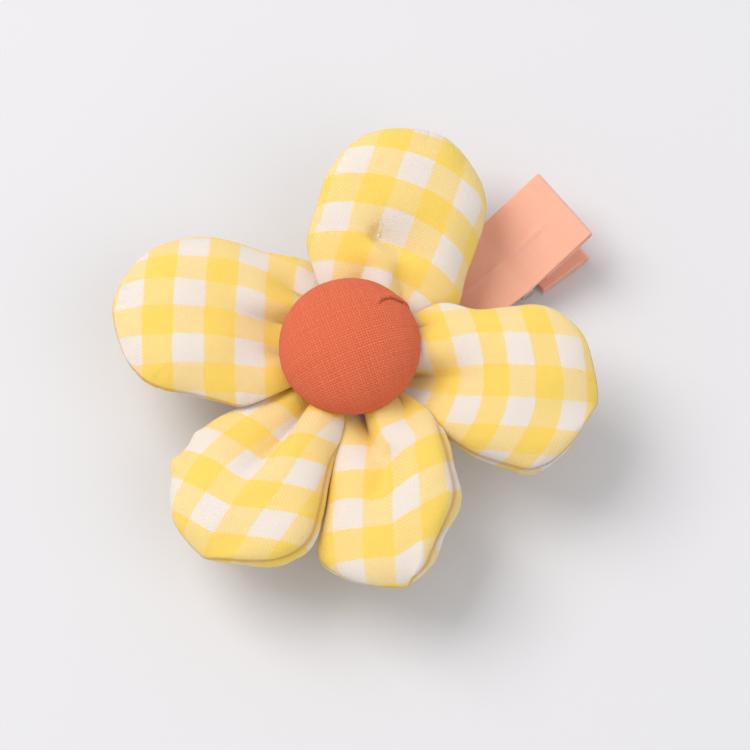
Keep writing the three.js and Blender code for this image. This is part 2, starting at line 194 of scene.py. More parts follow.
@dataclass(frozen=True)
class Cloth:
    """A woven cotton or ribbon, drawn thread by thread from the piece's own UV map, in metres.

    The piece's "seam" attribute, where it has one, says how deep a spot lies in a seam or a fold, and there
    the colour is blended towards the fold colour as painted shade. The low places between threads are
    darkened too, as painted shade.
    """

    name: str
    weave: Weave
    light: str
    dark: str
    ground: str = "#ffffff"
    thread: float = 0.3 * MM
    band: float = 4 * MM
    relief: float = 0.05 * MM
    roughness: float = 0.9
    sheen: float = 0.15
    slub: float = 0.3
    # How strongly the low places between threads are darkened towards the dark colour: painted shade.
    gap: float = 0.2
    glow: float = 0.35
    # The colour and strength of the painted shade in seams and at the bottoms of folds.
    fold: str = "#c08530"
    shade: float = 0.6

    def material(self) -> Material:
        """Builds the material.

        Returns:
            A material whose threads follow the cloth's cut.
        """
        made = bare_material(self.name)
        tree = made.node_tree
        cut = add(tree, "ShaderNodeUVMap", uv_map="cut").outputs[0]
        parts = add(tree, "ShaderNodeSeparateXYZ", {0: cut})
        u, v = parts.outputs[0], parts.outputs[1]
        over, height = self.threads(tree, u, v)
        woven = self.colour(tree, cut, u, v, over)
        # Painted shade: the low places between threads are darkened towards the dark colour.
        high, low = 0.75, 0.1
        between = sums(tree, "MULTIPLY", ranged(tree, height, high, low), self.gap)
        colour = blended(tree, between, woven, linear(self.dark))
        # Painted shade: seams and fold bottoms are blended towards the fold colour.
        sewn = add(tree, "ShaderNodeAttribute", attribute_name="seam").outputs["Fac"]
        fold_shade_start = 0.4
        shaded = sums(tree, "MULTIPLY", ranged(tree, sewn, fold_shade_start, 1.0), self.shade)
        colour = blended(tree, shaded, colour, linear(self.fold))
        bump = add(tree, "ShaderNodeBump", {"Height": height, "Distance": self.relief, "Strength": 1.0})
        inputs = {
            "Base Color": colour,
            "Roughness": self.roughness,
            "IOR": FIBRE_IOR,
            "Specular IOR Level": 0.25,
            "Sheen Weight": self.sheen,
            "Sheen Roughness": 0.5,
            "Subsurface Weight": self.glow,
            "Subsurface Radius": (1.0, 0.55, 0.2),
            "Subsurface Scale": 1.2 * MM,
            "Normal": bump.outputs[0],
        }
        return surfaced(made, inputs)

    def threads(self, tree: Tree, u: Socket, v: Socket) -> tuple[Socket, Socket]:
        """Works out which thread lies on top, and how high it stands.

        Args:
            tree: The material's node tree.
            u: Distance along the weft.
            v: Distance along the warp.

        Returns:
            1 where the warp is on top and 0 where the weft is, and the surface's height.
        """
        turn = math.pi / self.thread
        across = sums(tree, "SINE", sums(tree, "MULTIPLY", u, turn))
        along = sums(tree, "SINE", sums(tree, "MULTIPLY", v, turn))
        if self.weave is Weave.RIBBED:
            cross_thread = 0.15
            rib = sums(tree, "MULTIPLY", sums(tree, "ADD", across, 1.0), 0.5)
            return rib, sums(tree, "ADD", rib, sums(tree, "MULTIPLY", along, cross_thread))
        crossing = 0.25
        over = ranged(tree, sums(tree, "MULTIPLY", across, along), -crossing, crossing)
        warp = sums(tree, "MULTIPLY", over, sums(tree, "ABSOLUTE", across))
        weft_share = sums(tree, "SUBTRACT", 1.0, over)
        weft = sums(tree, "MULTIPLY", weft_share, sums(tree, "ABSOLUTE", along))
        return over, sums(tree, "ADD", warp, weft)

    def colour(self, tree: Tree, cut: Socket, u: Socket, v: Socket, over: Socket) -> Socket:
        """Works out the cloth's colour from its yarns, with thick and thin places in them.

        Args:
            tree: The material's node tree.
            cut: The place on the flat cloth.
            u: Distance along the weft.
            v: Distance along the warp.
            over: 1 where the warp is on top.

        Returns:
            The colour.
        """
        slubs = []
        per_metre = 40.0
        for stretch in ((1 / self.thread, per_metre, 1.0), (per_metre, 1 / self.thread, 1.0)):
            place = add(tree, "ShaderNodeVectorMath", {0: cut, 1: stretch}, operation="MULTIPLY")
            grain = add(tree, "ShaderNodeTexNoise", {"Vector": place.outputs[0], "Scale": 1.0, "Detail": 2.0})
            slubs.append(grain.outputs["Fac"])
        uneven = mixed(tree, over, slubs[1], slubs[0])
        shade = sums(tree, "MULTIPLY", ranged(tree, uneven, 0.3, 0.75), self.slub)
        yarn = blended(tree, shade, linear(self.light), linear(self.dark))
        if self.weave is not Weave.CHECK:
            return yarn
        turn = math.pi / self.band
        edge = 0.09
        warp_dyed = ranged(tree, sums(tree, "SINE", sums(tree, "MULTIPLY", u, turn)), -edge, edge)
        weft_dyed = ranged(tree, sums(tree, "SINE", sums(tree, "MULTIPLY", v, turn)), -edge, edge)
        dyed = mixed(tree, over, weft_dyed, warp_dyed)
        warp_share, weft_share, seen_as_one = 0.9, 0.72, 0.7
        heavy = sums(tree, "MULTIPLY", warp_dyed, warp_share)
        light = sums(tree, "MULTIPLY", weft_dyed, weft_share)
        either = sums(tree, "MINIMUM", sums(tree, "ADD", heavy, light), 1.0)
        soft = mixed(tree, seen_as_one, dyed, either)
        return blended(tree, soft, linear(self.ground), yarn)


@dataclass(frozen=True)
class Metal:
    """Plated or stamped metal, with the fine marks of handling."""

    name: str
    colour: str
    roughness: float = 0.28
    grain: float = 0.15 * MM
    patch: float = 1 / 300

    def material(self) -> Material:
        """Builds the material."""
        made = bare_material(self.name)
        tree = made.node_tree
        place = add(tree, "ShaderNodeTexCoord").outputs["Object"]
        drawn = add(tree, "ShaderNodeVectorMath", {0: place, 1: (0.15, 1.0, 1.0)}, operation="MULTIPLY")
        grain = {"Vector": drawn.outputs[0], "Scale": 1 / self.grain, "Detail": 3.0}
        lines = add(tree, "ShaderNodeTexNoise", grain).outputs["Fac"]
        patches = {"Vector": place, "Scale": 1 / self.patch, "Detail": 4.0}
        wear = add(tree, "ShaderNodeTexNoise", patches).outputs["Fac"]
        rough = sums(tree, "ADD", sums(tree, "MULTIPLY", wear, 0.2), self.roughness - 0.1)
        bump = add(tree, "ShaderNodeBump", {"Height": lines, "Distance": 0.01 * MM, "Strength": 0.6})
        inputs = {
            "Base Color": linear(self.colour),
            "Metallic": 1.0,
            "Roughness": rough,
            "Normal": bump.outputs[0],
        }
        return surfaced(made, inputs)


@dataclass(frozen=True)
class Fibre:
    """Matted or spun fibre with no weave: felt, or a sewing thread."""

    name: str
    light: str
    dark: str
    hair: float = 0.4 * MM
    relief: float = 0.15 * MM

    def material(self) -> Material:
        """Builds the material."""
        made = bare_material(self.name)
        tree = made.node_tree
        place = add(tree, "ShaderNodeTexCoord").outputs["Object"]
        matted = {"Vector": place, "Scale": 1 / self.hair, "Detail": 6.0, "Roughness": 0.7, "Distortion": 1.5}
        hairs = add(tree, "ShaderNodeTexNoise", matted).outputs["Fac"]
        colour = blended(tree, ranged(tree, hairs, 0.35, 0.65), linear(self.dark), linear(self.light))
        bump = add(tree, "ShaderNodeBump", {"Height": hairs, "Distance": self.relief, "Strength": 1.0})
        inputs = {
            "Base Color": colour,
            "Roughness": 1.0,
            "IOR": FIBRE_IOR,
            "Specular IOR Level": 0.2,
            "Sheen Weight": 0.3,
            "Normal": bump.outputs[0],
        }
        return surfaced(made, inputs)


# Yarn-dyed cotton gingham: matt, the half-tone squares speckled where dyed yarn crosses white.
# The threads are drawn a little coarser than the real 0.2 mm so that they show.
GINGHAM = Cloth(
    "gingham_cotton", Weave.CHECK, "#ffdb6c", "#fccf5a", ground="#eee6df", thread=0.26 * MM, band=4.2 * MM,
)
# Plain-weave cotton in coral, matt, with uneven yarns. They are drawn coarser than the real 0.25 mm. The low
# places between its threads are darkened hard towards the dark colour, and its fold colour is the dark brown
# of the tuck line: both are painted shade.
CORAL = Cloth(
    "coral_cotton", Weave.PLAIN, "#f77f5a", "#c54820", thread=0.37 * MM, relief=0.12 * MM, sheen=0.06,
    slub=0.4, gap=0.5, glow=0.08, fold="#8a3217", shade=0.75,
)
# Close-woven ribbon with fine ribs across: smoother, with a slight sheen.
SALMON = Cloth(
    "salmon_ribbon", Weave.RIBBED, "#ffbda6", "#fca68a", thread=0.22 * MM, relief=0.015 * MM,
    roughness=0.7, slub=0.4,
)
# Stamped steel with bright nickel plating: a soft mirror, dulled by handling.
NICKEL = Metal("nickel_plated_steel", "#c9c8c4")
# Drawn spring wire: a little brighter and smoother than the stampings.
WIRE = Metal("spring_wire", "#cfcecb", roughness=0.22)
# Stamped aluminium, left as pressed: pale and dull.
ALUMINIUM = Metal("stamped_aluminium", "#bfc0c2", roughness=0.4)
# Pressed felt, cut with shears: matted fibre with no weave and a soft edge.
FELT = Fibre("pressed_felt", "#f6dc98", "#eccb78")
# Spun polyester sewing thread: pale, with a fine twist.
THREAD = Fibre("sewing_thread", "#f3e3b4", "#e0c98a", hair=0.12 * MM, relief=0.03 * MM)


# ---- Pieces ----


def finished(
    name: str, bm: Shape, material: Material, body: str, nodes: tuple[str, ...] = ()
) -> bpy.types.Object:
    """Makes a piece of a bmesh, dresses it and puts it on its body.

    Args:
        name: The piece's name.
        bm: Its shape, in the part's frame; it is freed.
        material: Its material.
        body: The body it rides on.
        nodes: The CAD nodes it stands for.

    Returns:
        The new object, linked to the scene.
    """
    mesh = bpy.data.meshes.new(name)
    bm.to_mesh(mesh)
    bm.free()
    for face in mesh.polygons:
        face.use_smooth = True
    piece = linked(name, mesh)
    mesh.materials.append(material)
    if body:
        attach(piece, body)
    if nodes:
        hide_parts(*nodes)
    LOG.info("%s: %d faces on %s", name, len(mesh.polygons), body or "two bodies")
    return piece


def softened(node: str, name: str, edge: float, material: Material, body: str) -> None:
    """Makes a copy of a stamped CAD piece with its cut edges rounded off.

    Args:
        node: The CAD node.
        name: The new piece's name.
        edge: The radius of its edges.
        material: Its material.
        body: The body it rides on.
    """
    flat_angle, edge_angle, sharp_angle = math.radians(2), math.radians(35), math.radians(40)
    bm = bmesh.new()
    bm.from_mesh(frame["nodes"][node].data)
    bmesh.ops.remove_doubles(bm, verts=bm.verts, dist=MERGE)
    bmesh.ops.dissolve_limit(bm, angle_limit=flat_angle, verts=bm.verts, edges=bm.edges)
    sharp = [e for e in bm.edges if e.is_manifold and e.calc_face_angle(0) > edge_angle]
    bmesh.ops.bevel(
        bm, geom=sharp, offset=edge, offset_type="OFFSET", affect="EDGES", segments=2, profile=0.5,
        material=-1, clamp_overlap=True,
    )
    bmesh.ops.triangulate(bm, faces=[f for f in bm.faces if len(f.verts) > 4])
    piece = finished(name, bm, material, body, (node,))
    piece.data.set_sharp_from_angle(angle=sharp_angle)


@dataclass
class ClipMetal:
    """The alligator clip's arms, pin and spring."""

    edge: float = 0.08 * MM
    wire: float = 0.7 * MM
    bore: float = 0.8 * MM
    turns: int = 5
    leg: float = 1.9 * MM
    lever_rise: float = math.radians(23)
    turn_gap: float = 0.1 * MM
    steps: int = 220

    def build(self) -> None:
        """Makes the arms, the pin and the spring."""
        nickel = NICKEL.material()
        softened("lower_arm", "clip_lower_arm", self.edge, nickel, "lower_clip")
        softened("upper_arm", "clip_upper_arm", self.edge, nickel, "upper_clip")
        softened("hinge_pin", "clip_pin", self.edge, nickel, "lower_clip")
        self.spring()

    def spring(self) -> None:
        """Winds the torsion spring round the pin, one leg on each lever."""
        pin = Vector(frame["record"]["behaviour"]["joints"][0]["pos_m"])
        mean = self.bore + self.wire / 2
        first = -math.pi / 2
        last = math.pi / 2 + self.lever_rise - 2 * math.pi * self.turns
        length = (first - last) * mean
        rise = (self.wire + self.turn_gap) * (first - last) / (2 * math.pi)
        curve = bpy.data.curves.new("spring_line", "CURVE")
        curve.dimensions = "3D"
        curve.bevel_depth = self.wire / 2
        curve.bevel_resolution = 4
        curve.use_fill_caps = True
        line = curve.splines.new("POLY")
        line.points.add(self.steps)
        for i, point in enumerate(line.points):
            run = i / self.steps * (length + 2 * self.leg) - self.leg
            wound = min(max(run, 0.0), length)
            angle = first - wound / mean
            straight = run - wound
            point.co = (
                pin.x + mean * math.cos(angle) + straight * math.sin(angle),
                rise * (wound / length - 0.5),
                pin.z + mean * math.sin(angle) - straight * math.cos(angle),
                1.0,
            )
        holder = linked("spring_line", curve)
        shown = holder.evaluated_get(bpy.context.evaluated_depsgraph_get())
        bm = bmesh.new()
        bm.from_mesh(shown.to_mesh())
        bpy.data.objects.remove(holder)
        bmesh.ops.remove_doubles(bm, verts=bm.verts, dist=MERGE)
        bmesh.ops.recalc_face_normals(bm, faces=bm.faces)
        piece = finished("clip_spring", bm, WIRE.material(), "", ("torsion_spring",))
        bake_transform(piece)


@dataclass
class LeverRibbon:
    """A length of ribbon laid along an arm, folded round the end of its lever and back underneath."""

    name: str
    node: str
    body: str
    line: list[Vector]
    inner_start: float
    width: float = 11.5 * MM
    thickness: float = 0.35 * MM
    away: float = 0.525 * MM
    fold_line: float = 0.2 * MM
    line_aside: float = 0.3 * MM
    sag: float = 0.06 * MM
    ripple: float = 0.05 * MM
    ripples_per_metre: float = 180
    fold_steps: int = 12
    across: int = 48
    along: int = 120

    def path(self) -> list[tuple[Vector, Vector]]:
        """Follows the ribbon's middle from its front end round the fold.

        Returns:
            Points along the path, each with the direction out of the ribbon's face.
        """
        knots: list[tuple[Vector, Vector]] = []
        for i, point in enumerate(self.line):
            before = self.line[max(i - 1, 0)]
            after = self.line[min(i + 1, len(self.line) - 1)]
            along = (after - before).normalized()
            normal = Vector((-along.z, 0, along.x))
            knots.append((point + normal * self.away, normal))
        end = self.line[-1]
        angle = math.atan2(along.z, along.x)
        for i in range(1, self.fold_steps + 1):
            at = angle + math.pi / 2 - math.pi * i / self.fold_steps
            out = Vector((math.cos(at), 0, math.sin(at)))
            knots.append((end + out * self.away, out))
        start = self.line[-2]
        share = (self.inner_start - start.x) / (end.x - start.x)
        back = start.lerp(end, share)
        knots.append((back - normal * self.away, -normal))
        return knots

    def build(self, material: Material) -> None:
        """Lays a grid along the path, with a faint fold down its middle."""
        knots = self.path()
        runs = run_lengths([point for point, _ in knots])
        bm = bmesh.new()
        bmesh.ops.create_grid(bm, x_segments=self.along, y_segments=self.across, size=1.0)
        cut = bm.loops.layers.uv.new("cut")
        flat_run = (self.line[-1] - self.line[0]).length
        places: dict[bmesh.types.BMVert, tuple[float, float]] = {}
        for vert in bm.verts:
            run = (vert.co.x + 1) / 2 * runs[-1]
            side = vert.co.y * self.width / 2
            i = max(1, next(k for k, r in enumerate(runs) if r >= run - SLIGHT))
            share = (run - runs[i - 1]) / (runs[i] - runs[i - 1])
            point = knots[i - 1][0].lerp(knots[i][0], share)
            normal = knots[i - 1][1].lerp(knots[i][1], share).normalized()
            places[vert] = (run, side)
            before_fold = 1 - smooth(run, flat_run - 5 * MM, flat_run - 1 * MM)
            off_line = (side + self.line_aside) / self.line_aside
            ridge = self.fold_line * before_fold * math.exp(-(off_line**2))
            ripple = self.ripple * noise.noise(Vector((run, side, 0)) * self.ripples_per_metre)
            sag = self.sag * (2 * side / self.width) ** 2
            vert.co = point + Vector((0, side, 0)) + normal * (ridge + ripple - sag)
        for face in bm.faces:
            for loop in face.loops:
                loop[cut].uv = places[loop.vert]
        bmesh.ops.recalc_face_normals(bm, faces=bm.faces)
        piece = finished(self.name, bm, material, self.body, (self.node,))
        wall = piece.modifiers.new("thickness", "SOLIDIFY")
        wall.thickness = self.thickness
        wall.offset = 0.0


@dataclass
class FlowerPlace:
    """The flower's own frame: its axis leans with the upper arm."""

    felt_thickness: float = 1.2 * MM
    petal_plane: float = 6.0 * MM

    def matrix(self) -> Matrix:
        """Finds the frame from the felt and the gather thread.

        Returns:
            The frame whose origin is on the felt's underside and whose Z is the flower's axis.
        """
        felt = centre("felt_backing")
        axis = (centre("gather_thread") - felt).normalized()
        side = Vector((0, 1, 0))
        radial = side.cross(axis).normalized()
        origin = felt - axis * self.felt_thickness / 2
        turned = Matrix((radial, side, axis)).transposed().to_4x4()
        return Matrix.Translation(origin) @ turned


@dataclass
class FeltBacking:
    """The felt disc between the flower and the clip."""

    radius: float = 10.5 * MM
    thickness: float = 1.2 * MM
    edge: float = 0.25 * MM
    uneven: float = 0.12 * MM
    lumps_per_metre: float = 900
    segments: int = 96
    rings: int = 9

    def build(self, place: Matrix) -> None:
        """Makes the disc with a cut edge that isn't quite true."""
        bm = bmesh.new()
        bmesh.ops.create_circle(bm, cap_ends=True, radius=self.radius, segments=self.segments)
        for _ in range(self.rings - 1):
            inner = max(bm.faces, key=lambda f: f.calc_area())
            bmesh.ops.inset_region(bm, faces=[inner], thickness=self.radius / self.rings)
        flat = bmesh.ops.extrude_face_region(bm, geom=bm.faces[:])
        top = [v for v in flat["geom"] if isinstance(v, bmesh.types.BMVert)]
        bmesh.ops.translate(bm, verts=top, vec=(0, 0, self.thickness))
        bmesh.ops.recalc_face_normals(bm, faces=bm.faces)
        rim = [e for e in bm.edges if e.calc_face_angle(0) > math.radians(60)]
        bmesh.ops.bevel(
            bm, geom=rim, offset=self.edge, offset_type="OFFSET", affect="EDGES", segments=3, profile=0.5,
            material=-1,
        )
        for vert in bm.verts:
            vert.co += Vector((1, 1, 0.4)) * noise.noise(vert.co * self.lumps_per_metre) * self.uneven
        bmesh.ops.transform(bm, matrix=place, verts=bm.verts)
        piece = finished("flower_felt", bm, FELT.material(), "upper_clip", ("felt_backing",))


@dataclass(frozen=True)
class Crease:
    """A fold in a petal's face, along a bowed line that fades out from its start.

    Lengths are in millimetres. The step is how much higher the face stands on the line's left.
    """

    start: tuple[float, float]
    end: tuple[float, float]
    depth: float
    width: float = 0.8
    bow: float = 0.0
    step: float = 0.0

    def place(self, x: float, y: float) -> tuple[float, float]:
        """Finds where a spot lies along the fold.

        Args:
            x: Distance out along the petal, in millimetres.
            y: Distance to its left, in millimetres.

        Returns:
            The share of the fold's length, and the distance to its left in millimetres.
        """
        start, end = Vector(self.start), Vector(self.end)
        along = end - start
        share = (Vector((x, y)) - start).dot(along) / along.length_squared
        side = along.normalized().cross(Vector((x, y)) - start)
        held = min(1.0, max(0.0, share))
        return share, side - self.bow * 4 * held * (1 - held)

    def height(self, x: float, y: float) -> float:
        """Gives what the fold adds to the face's height, in millimetres."""
        soft_start, opening, groove_power, lip_reach = 1.5, 1.3, 1.4, 3.5
        share, side = self.place(x, y)
        run = max(0.0, share)
        before = min(0.0, share) * (Vector(self.end) - Vector(self.start)).length
        fade = (1 - smooth(run, 0.25, 1.15)) * math.exp(-((before / soft_start) ** 2))
        wide = self.width * (1 + opening * run)
        groove = math.exp(-(abs(side / wide) ** groove_power))
        lip = math.tanh(side / wide) * math.exp(-((side / (lip_reach * wide)) ** 2))
        return fade * (self.step * lip - self.depth * groove)

    def shade(self, x: float, y: float) -> float:
        """Gives how strongly painted shade darkens the bottom of the fold at a spot, from 0 to 1."""
        share, side = self.place(x, y)
        if share < 0:
            return 0.0
        near_root = 1 - smooth(x, 10.0, 15.0)
        near_start = 1 - smooth(share, 0.1, 0.75)
        return near_root * near_start * math.exp(-((side / (0.4 * self.width)) ** 2))


@dataclass(frozen=True)
class Dent:
    """A spot where a stitch draws the petal's face in, in millimetres."""

    out: float
    aside: float
    width: float
    depth: float


@dataclass(frozen=True)
class Corner:
    """A place where the outline stands out from its plain curve (or in, below 0), in millimetres.

    The side is -1 for the petal's right edge and 1 for its left.
    """

    out: float
    side: int
    rise: float
    reach: float = 4.0

    def height(self, x: float) -> float:
        """Gives how far the outline stands out at x."""
        return self.rise * math.exp(-(((x - self.out) / self.reach) ** 2))


@dataclass
class Petal:
    """A stuffed petal: two pieces of gingham sewn round the edge, filled, and gathered at the root.

    Lengths are in millimetres and angles in degrees, in the petal's own frame: X out, Y left.
    Right and left are the angles to the lines shared with the neighbours. The check fields say how
    the gingham lies on the cut, and seam_rise how far the seam is drawn up on the right and left.
    """

    name: str
    direction: float
    reach: float
    width: float
    right: float
    left: float
    seed: int
    check_turn: float
    check_shift: tuple[float, float]
    check_bow: tuple[float, float] = (0.02, 0.02)
    check_skew: tuple[float, float] = (0.0, 0.0)
    check_fan: float = 0.0
    fan_end: float = 0.7
    check_pitch: float = 1.0
    check_slope: float = 0.0
    creases: tuple[Crease, ...] = ()
    dents: tuple[Dent, ...] = ()
    corners: tuple[Corner, ...] = ()
    seam_rise: tuple[float, float] = (0.0, 0.0)
    root: float = 3.9
    root_round: float = 3.0
    half_depth: float = 4.5
    root_share: float = 0.5
    roll: float = 9.0
    lift: float = 6.0
    seam_draw: float = 0.55
    seam_free: tuple[float, float] = (9.0, 16.0)
    seam_round: float = 0.3
    back_bulge: float = 1.5
    gather_depth: float = 0.9
    gather_waves: float = 1.3
    gathers_end: tuple[float, float] = (6.0, 15.0)
    root_held: float = 1.2
    lump: float = 0.4
    lumps_per_mm: float = 0.17
    pucker: float = 0.25
    puckers_per_mm: float = 0.6
    squeeze: float = 1.2
    lean: float = 16.0
    press_depth: float = 0.5
    touch: float = 0.2
    slack: float = 1.03
    cells: int = 64
    steps: int = 18
    scale_up: float = 0.04
    frames: int = 24

    def caps(self, x: float) -> tuple[float, float]:
        """Gives how far the rounding at the root and at the tip lets the petal spread at x."""
        radius = self.width / 2
        out = max(0.0, x - self.reach + radius) / radius
        inside = max(0.0, 1 - (x - self.root) / self.root_round)
        return math.sqrt(max(0.0, 1 - inside**2)), math.sqrt(max(0.0, 1 - out**2))

    def half_width(self, x: float, side: int) -> float:
        """Gives the half width at x, on the right (-1) or left (1)."""
        root_cap, end_cap = self.caps(x)
        spread = math.radians(self.left if side > 0 else self.right)
        to_neighbour = x * math.tan(spread) + self.squeeze / math.cos(spread)
        wide = rounded_less(to_neighbour, self.width / 2 * end_cap) * root_cap
        for corner in self.corners:
            if corner.side == side:
                wide += corner.height(x) * end_cap
        return wide

    def half_height(self, x: float) -> float:
        """Gives the half thickness on the middle line at x."""
        root_cap, end_cap = self.caps(x)
        swell = smooth(x, self.root, self.reach - self.width / 2)
        return self.half_depth * (self.root_share + (1 - self.root_share) * swell) * root_cap * end_cap

    def made(self, x: float, share: float, way: float) -> Vector:
        """Gives a spot's place once the petal is sewn, filled and gathered.

        Args:
            x: Distance along the petal.
            share: Place across it, from -1 on the right edge to 1 on the left.
            way: 1 on the front cloth, -1 on the back.

        Returns:
            The place, in the petal's frame.
        """
        side = 1 if share >= 0 else -1
        free = smooth(x, *self.seam_free)
        crown = math.sqrt(max(0.0, 1 - share * share))
        rise = self.seam_rise[0 if side < 0 else 1] * free * smooth(self.caps(x)[1], 0.0, self.seam_round)
        edge = max(0.0, self.half_width(x, side) - self.seam_draw * free - 0.5 * rise)
        y = share * edge
        height = way * self.half_height(x) * crown + rise * share * share
        if way > 0:
            height += crown * sum(fold.height(x, y) for fold in self.creases)
        else:
            y += side * self.back_bulge * rise * math.sqrt(crown) * abs(share) ** 3
            gathers = 1 - smooth(x, *self.gathers_end)
            height += crown * self.gather_depth * math.cos(self.gather_waves * y) * gathers
        return Vector((x, y, height))

    def sewn(self) -> tuple[Shape, list[Vector], list[Vector], list[float]]:
        """Cuts the two cloths and joins them at the edge.

        Returns:
            The pillow, each vertex's place on the flat cut, its place once made,
            and how firmly it is held while the petal is filled.
        """
        bm = bmesh.new()
        bmesh.ops.create_grid(bm, x_segments=self.cells, y_segments=self.cells, size=1.0)
        for vert in bm.verts:
            p, q = vert.co.x, vert.co.y
            vert.co = Vector((p * math.sqrt(1 - q * q / 2), q * math.sqrt(1 - p * p / 2), 1.0))
        back = bmesh.ops.duplicate(bm, geom=bm.verts[:] + bm.edges[:] + bm.faces[:])["geom"]
        for vert in (g for g in back if isinstance(g, bmesh.types.BMVert)):
            vert.co.z = -1.0
        bmesh.ops.reverse_faces(bm, faces=[g for g in back if isinstance(g, bmesh.types.BMFace)])
        for vert in bm.verts:
            if vert.is_boundary:
                vert.co.z = 0.0
        bmesh.ops.remove_doubles(bm, verts=bm.verts, dist=1e-5)
        bm.verts.index_update()
        pole = 1e-4
        flat: list[Vector] = []
        made: list[Vector] = []
        held: list[float] = []
        runs = self.lengths()
        for vert in bm.verts:
            p, q, way = vert.co
            x = self.root + (self.reach - self.root) * (p + 1) / 2
            chord = math.sqrt(max(0.0, 1 - p * p))
            share = max(-1.0, min(1.0, q / chord)) if chord > pole else 0.0
            spots = [self.made(x, share * i / self.steps, way or 1) for i in range(self.steps + 1)]
            across = sum((b - a).length for a, b in zip(spots, spots[1:]))
            at = (x - self.root) / (self.reach - self.root) * self.steps
            whole = min(self.steps - 1, int(at))
            along = runs[whole] + (runs[whole + 1] - runs[whole]) * (at - whole)
            flat.append(Vector((along, math.copysign(across, share), 0)))
            made.append(self.made(x, share, way))
            held.append(self.hold(made[-1], way))
        return bm, flat, made, held

    def lengths(self) -> list[float]:
        """Measures the length along the front's middle line, from the root to even steps of x."""
        at = [self.root + (self.reach - self.root) * i / self.steps for i in range(self.steps + 1)]
        runs = [0.0]
        for a, b in zip(at, at[1:]):
            runs.append(runs[-1] + math.hypot(b - a, self.half_height(b) - self.half_height(a)))
        return runs

    def hold(self, place: Vector, way: float) -> float:
        """Gives how firmly sewing or gathering holds a spot: the seam, the root and the folds."""
        if way == 0 or place.x < self.root + self.root_held:
            return 1.0
        if way < 0:
            return 0.0
        firm = 0.0
        for fold in self.creases:
            share, side = fold.place(place.x, place.y)
            if share < 1 and abs(side) < 0.5 * fold.width:
                firm = max(firm, 1 - smooth(share, 0.5, 1.0))
        for dent in self.dents:
            if math.hypot(place.x - dent.out, place.y - dent.aside) < 0.5 * dent.width:
                firm = 1.0
        return firm

    def check_map(self, bm: Shape, flat: list[Vector]) -> None:
        """Args:
            bm: The pillow.
            flat: Each vertex's place on the flat cut.
        """
        cut = bm.loops.layers.uv.new("cut")
        turned = Matrix.Rotation(math.radians(self.check_turn), 2)
        for face in bm.faces:
            for loop in face.loops:
                x, y, _ = flat[loop.vert.index]
                half = 0 if y < 0 else 1
                drawn = self.check_bow[half] * y * y + self.check_skew[half] * abs(y)
                spread = 1 + self.check_fan * max(0.0, 1 - x / (self.fan_end * self.reach))
                spot = turned @ Vector((x * self.check_pitch + drawn, y * spread + x * self.check_slope))
                loop[cut].uv = (spot + Vector(self.check_shift)) * MM

    def filled(self, bm: Shape, flat: list[Vector], held: list[float]) -> None:
        """Fills the pillow by cloth simulation, so that the slack falls into folds.

        Args:
            bm: The sewn pillow; its vertices are moved.
            flat: Each vertex's place on the flat cut.
            held: How firmly each vertex is held.
        """
        mesh = bpy.data.meshes.new("filling_" + self.name)
        bm.to_mesh(mesh)
        for vert in mesh.vertices:
            vert.co *= self.scale_up
        work = linked("filling_" + self.name, mesh)
        work.shape_key_add(name="sewn")
        rest = work.shape_key_add(name="cut")
        for i, place in enumerate(flat):
            rest.data[i].co = place * self.scale_up * self.slack
        rest.value = 0.0
        pins = work.vertex_groups.new(name="held")
        for i, firm in enumerate(held):
            if firm > 0:
                pins.add([i], firm, "REPLACE")
        cloth = work.modifiers.new("filling", "CLOTH")
        settings = cloth.settings
        settings.quality = 8
        settings.mass = 0.25
        settings.tension_stiffness = 30
        settings.compression_stiffness = 12
        settings.shear_stiffness = 5
        settings.bending_stiffness = 0.25
        settings.tension_damping = 10
        settings.compression_damping = 10
        settings.use_pressure = True
        settings.uniform_pressure_force = 3.5
        settings.vertex_group_mass = "held"
        settings.pin_stiffness = 1.0
        settings.rest_shape_key = rest
        settings.effector_weights.gravity = 0
        cloth.collision_settings.use_collision = False
        cloth.point_cache.frame_start = 1
        cloth.point_cache.frame_end = self.frames
        for at in range(1, self.frames + 1):
            bpy.context.scene.frame_set(at)
        shown = work.evaluated_get(bpy.context.evaluated_depsgraph_get())
        for vert in bm.verts:
            vert.co = shown.data.vertices[vert.index].co / self.scale_up
        bpy.context.scene.frame_set(1)
        bpy.data.objects.remove(work)

    def worked(self, bm: Shape, seam: set[int]) -> None:
        """Adds the seam's puckers, the lumps of the filling and the dents.

        Args:
            bm: The filled petal, in its own frame.
            seam: The vertices on the seam.
        """
        bm.normal_update()
        offset = Vector((self.seed * 3.7, 0, 0))
        moves: list[tuple[bmesh.types.BMVert, Vector]] = []
        for vert in bm.verts:
            free = smooth(vert.co.x, self.root + 1, self.root + 6)
            move = vert.normal * noise.noise(vert.co * self.lumps_per_mm + offset) * self.lump * free
            if vert.index in seam:
                move += Vector((0, 0, noise.noise(vert.co * self.puckers_per_mm + offset) * self.pucker))
            for dent in self.dents:
                if vert.co.z > 0:
                    gap = math.hypot(vert.co.x - dent.out, vert.co.y - dent.aside)
                    move -= Vector((0, 0, dent.depth * math.exp(-((gap / dent.width) ** 1.5))))
            moves.append((vert, move))
        for vert, move in moves:
            vert.co += move

    def pressed(self, bm: Shape) -> None:
        """Flattens the petal where it presses on its neighbours, each lying a little over the next."""
        rolled = Matrix.Rotation(math.radians(self.roll), 3, "X")
        for vert in bm.verts:
            spot = rolled @ vert.co
            for way, wall in ((1, math.radians(self.left)), (-1, math.radians(self.right))):
                level = Vector((-math.sin(wall), way * math.cos(wall), 0))
                over = way * spot.z * math.tan(math.radians(self.lean))
                past = spot.dot(level) - over + self.press_depth - self.touch
                if past > 0:
                    spot -= level * (past - self.press_depth * math.tanh(past / self.press_depth))
            vert.co = rolled.transposed() @ spot

